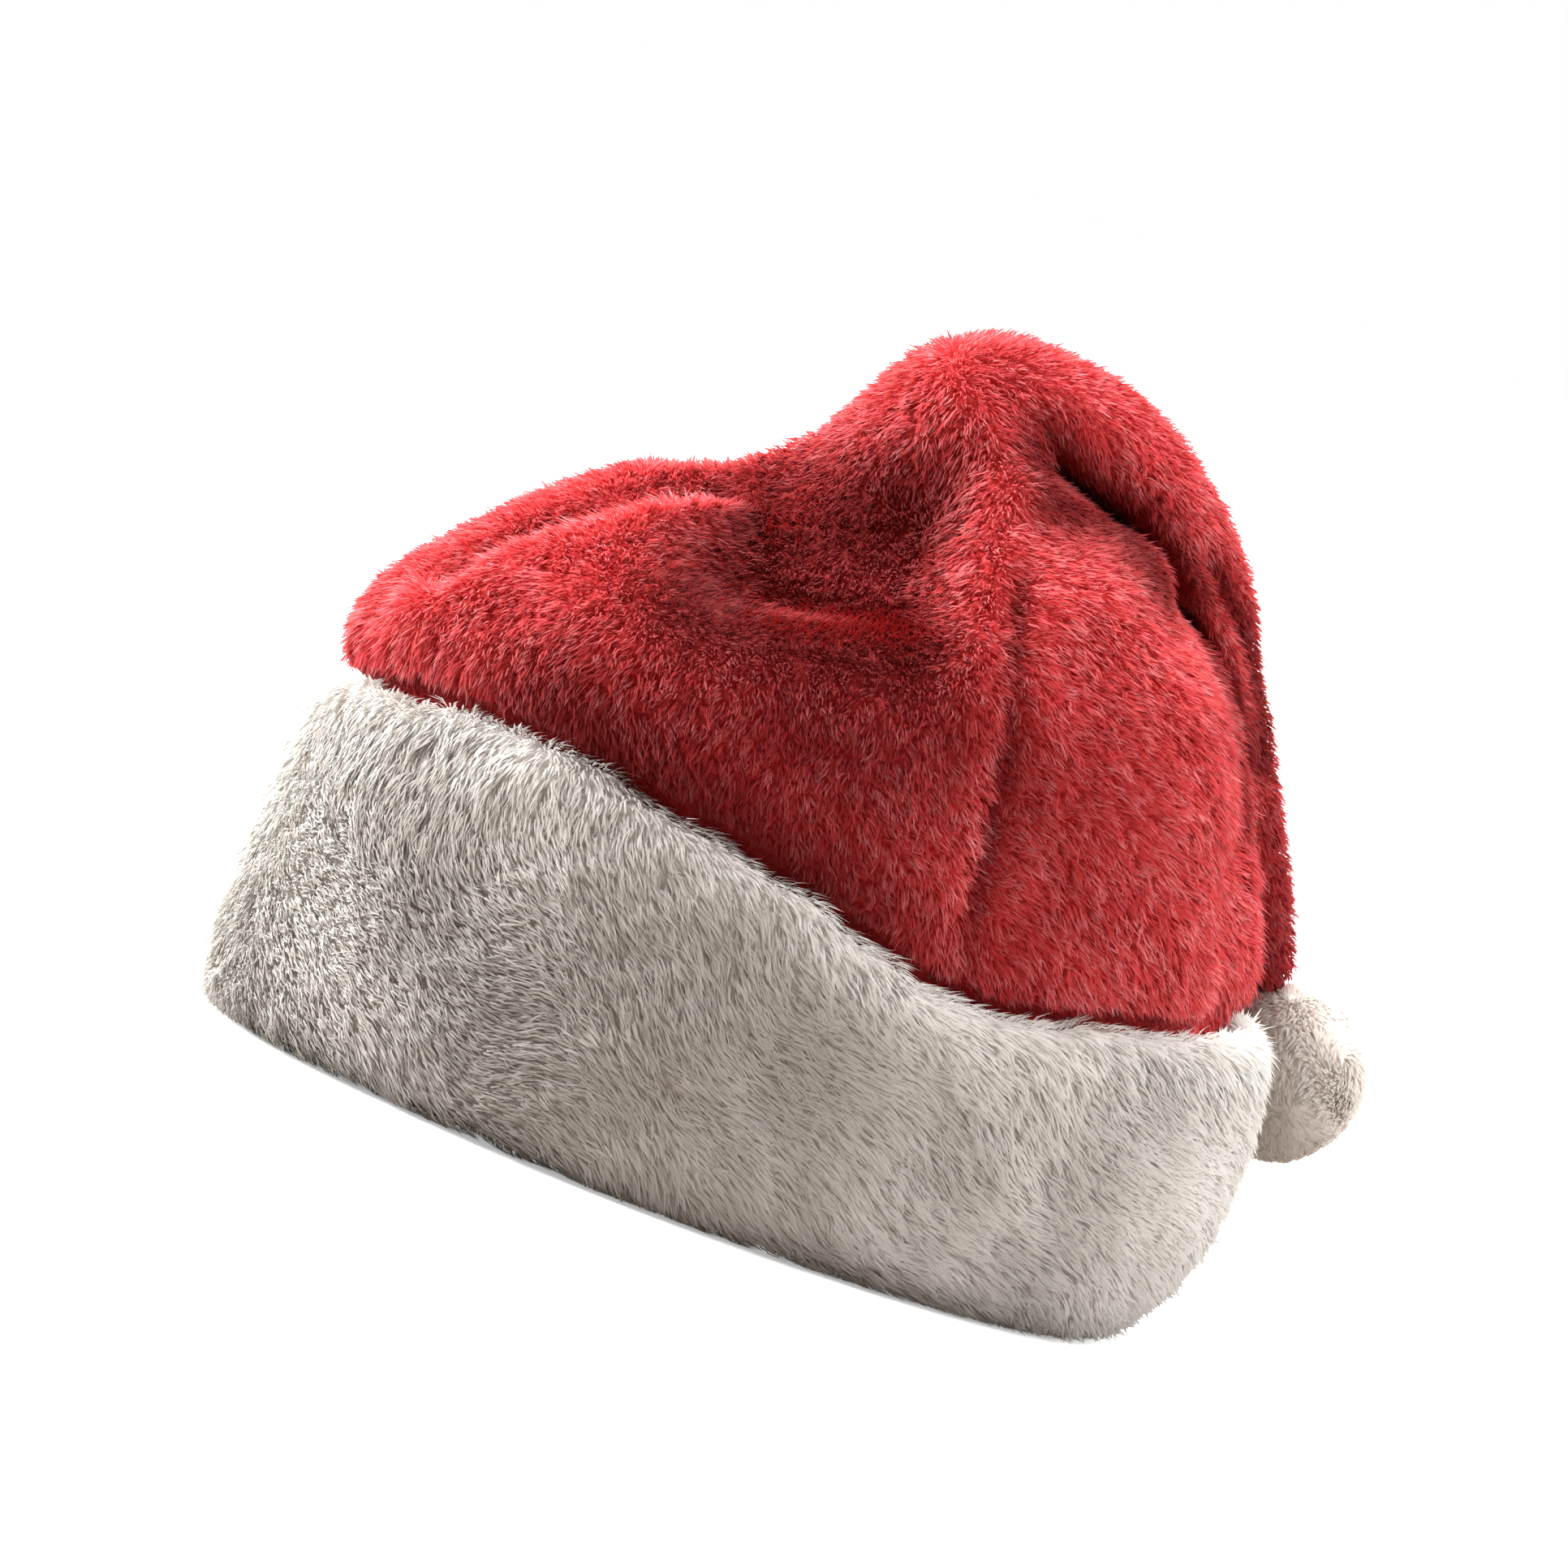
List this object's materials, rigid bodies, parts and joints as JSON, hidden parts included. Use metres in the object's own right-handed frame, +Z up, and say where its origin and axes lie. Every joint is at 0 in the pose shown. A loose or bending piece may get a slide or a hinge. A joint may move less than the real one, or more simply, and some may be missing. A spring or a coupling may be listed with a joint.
{
  "type": "santa hat",
  "caption": "Soft plush hat: a hollow red crown folded over into a tail, a padded white band round the head and a white pompom at the tail's tip.",
  "frame": {"origin": "on the surface that the hat rests on, under the middle of the hat's box; the rim oval's centre lies 11.4 mm to -X of it", "axes": "+Z up through the head opening, -X to the hat's front, +X to the back of the head, where the tail and the pompom hang on the +Y side"},
  "size_m": [0.2437, 0.1816, 0.195],
  "materials": {
    "red_plush": "short red plush pile, matt with a soft sheen",
    "white_plush": "white plush pile, matted in soft clumps",
    "pompom_plush": "short dense white pile"
  },
  "bodies": {
    "root": {"crown": "red_plush", "band": "white_plush", "pompom": "pompom_plush"}
  },
  "joints": []
}
